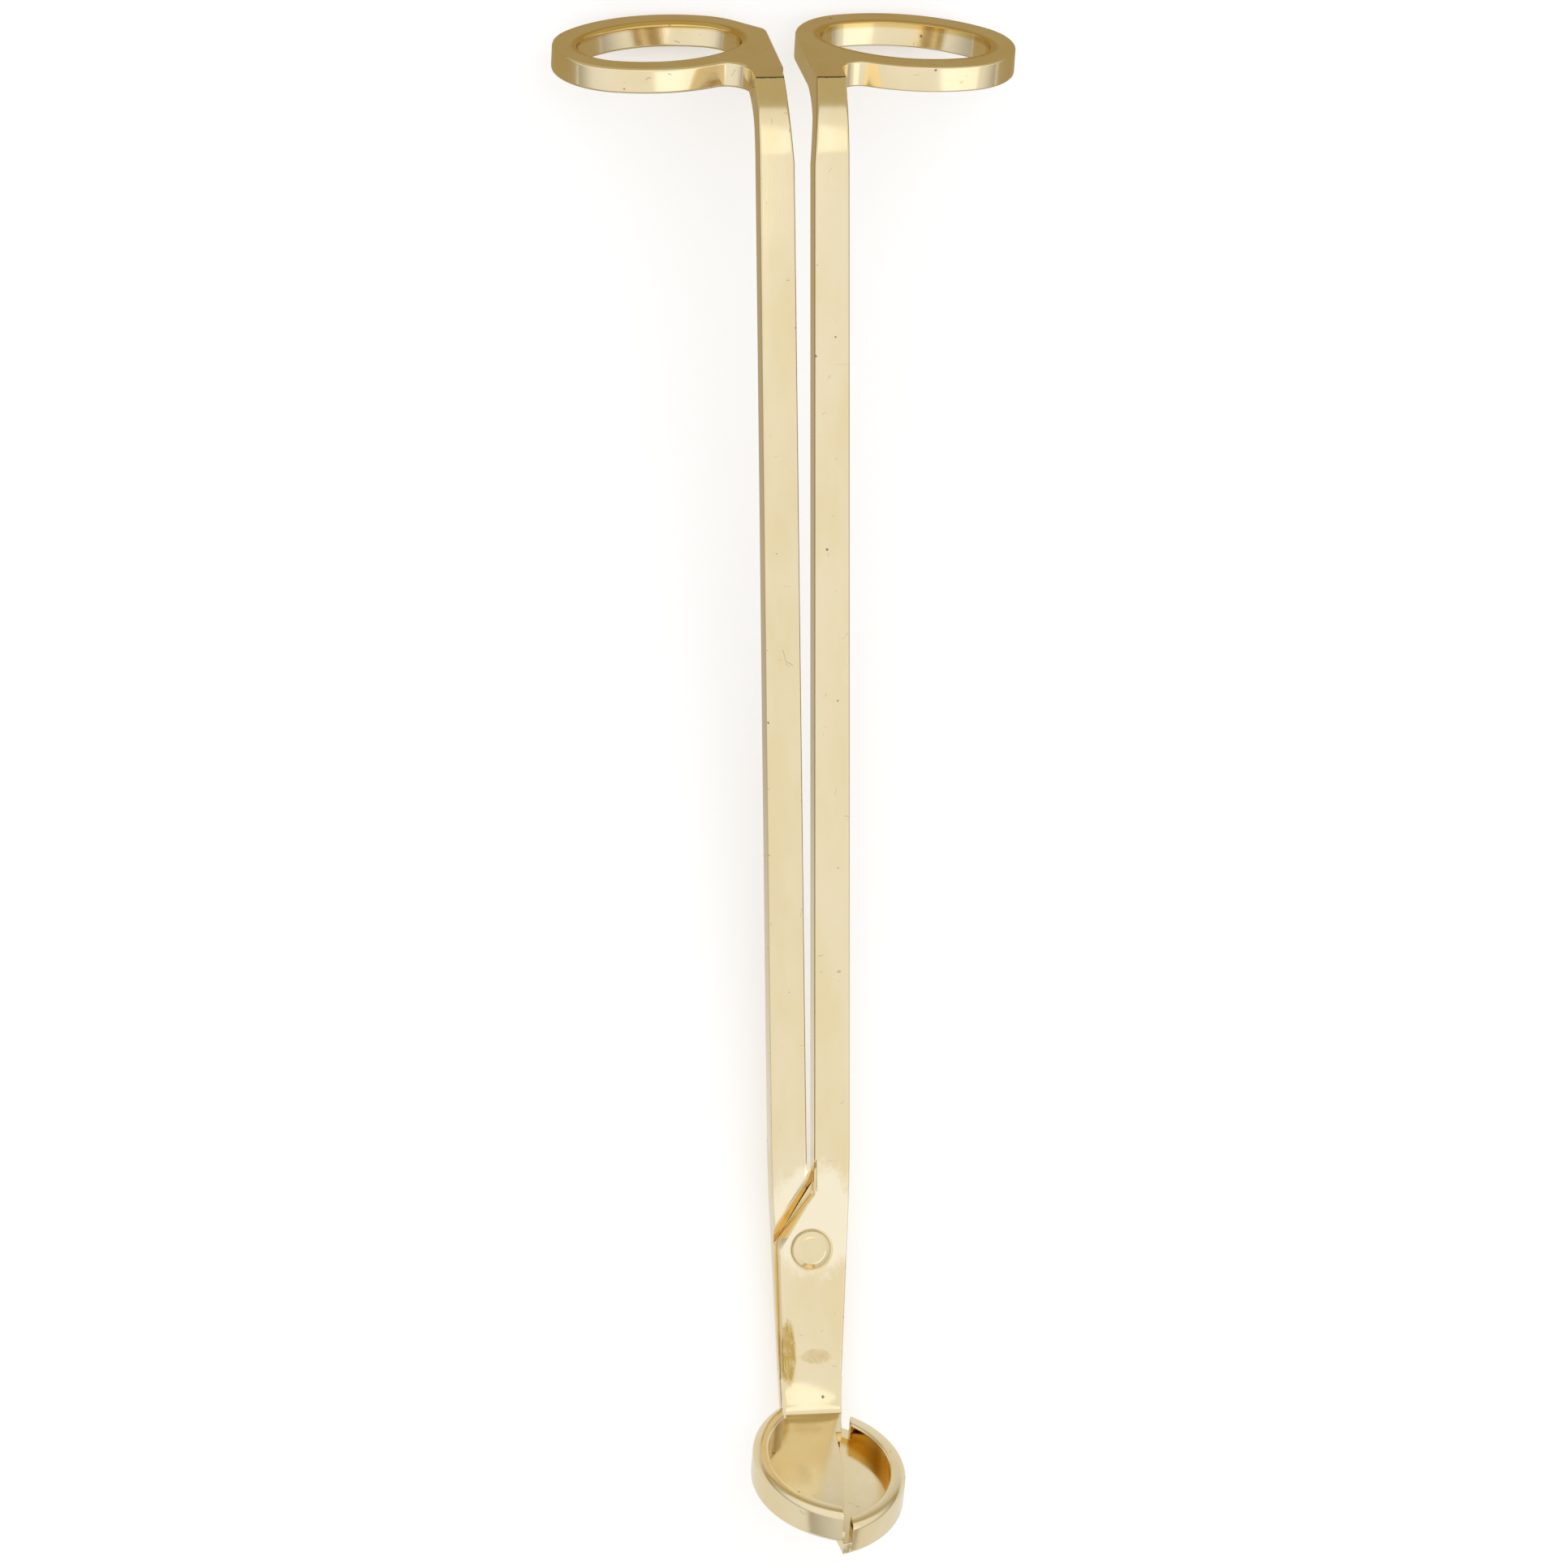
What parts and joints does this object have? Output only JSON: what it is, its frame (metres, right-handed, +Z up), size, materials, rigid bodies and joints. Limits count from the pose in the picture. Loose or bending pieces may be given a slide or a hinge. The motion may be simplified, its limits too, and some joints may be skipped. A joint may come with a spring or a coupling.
{
  "type": "wick trimmer",
  "caption": "Scissor-type candle wick trimmer: bent, riveted plate arms with finger rings behind and a leaf-shaped catch tray with shearing blade edges in front",
  "frame": {"origin": "centre of the bounding box in X and Y, on the table it lies on", "axes": "+Y from the tray toward the finger rings, +X to the right seen from the front faces, +Z up from the table"},
  "size_m": [0.0546, 0.18, 0.0235],
  "materials": {
    "front_arm": "polished gold plating",
    "rear_arm": "polished gold plating",
    "rivet": "polished gold plating, domed"
  },
  "bodies": {
    "rear": {"rear_arm": "rear_arm", "rivet": "rivet"},
    "front": {"front_arm": "front_arm"}
  },
  "joints": [
    {"name": "pivot", "type": "hinge", "parent": "rear", "child": "front", "pos_m": [0, -0.05562, 0.00565], "axis": [0, 0.1277, -0.9918], "range_deg": [0, 33]}
  ]
}
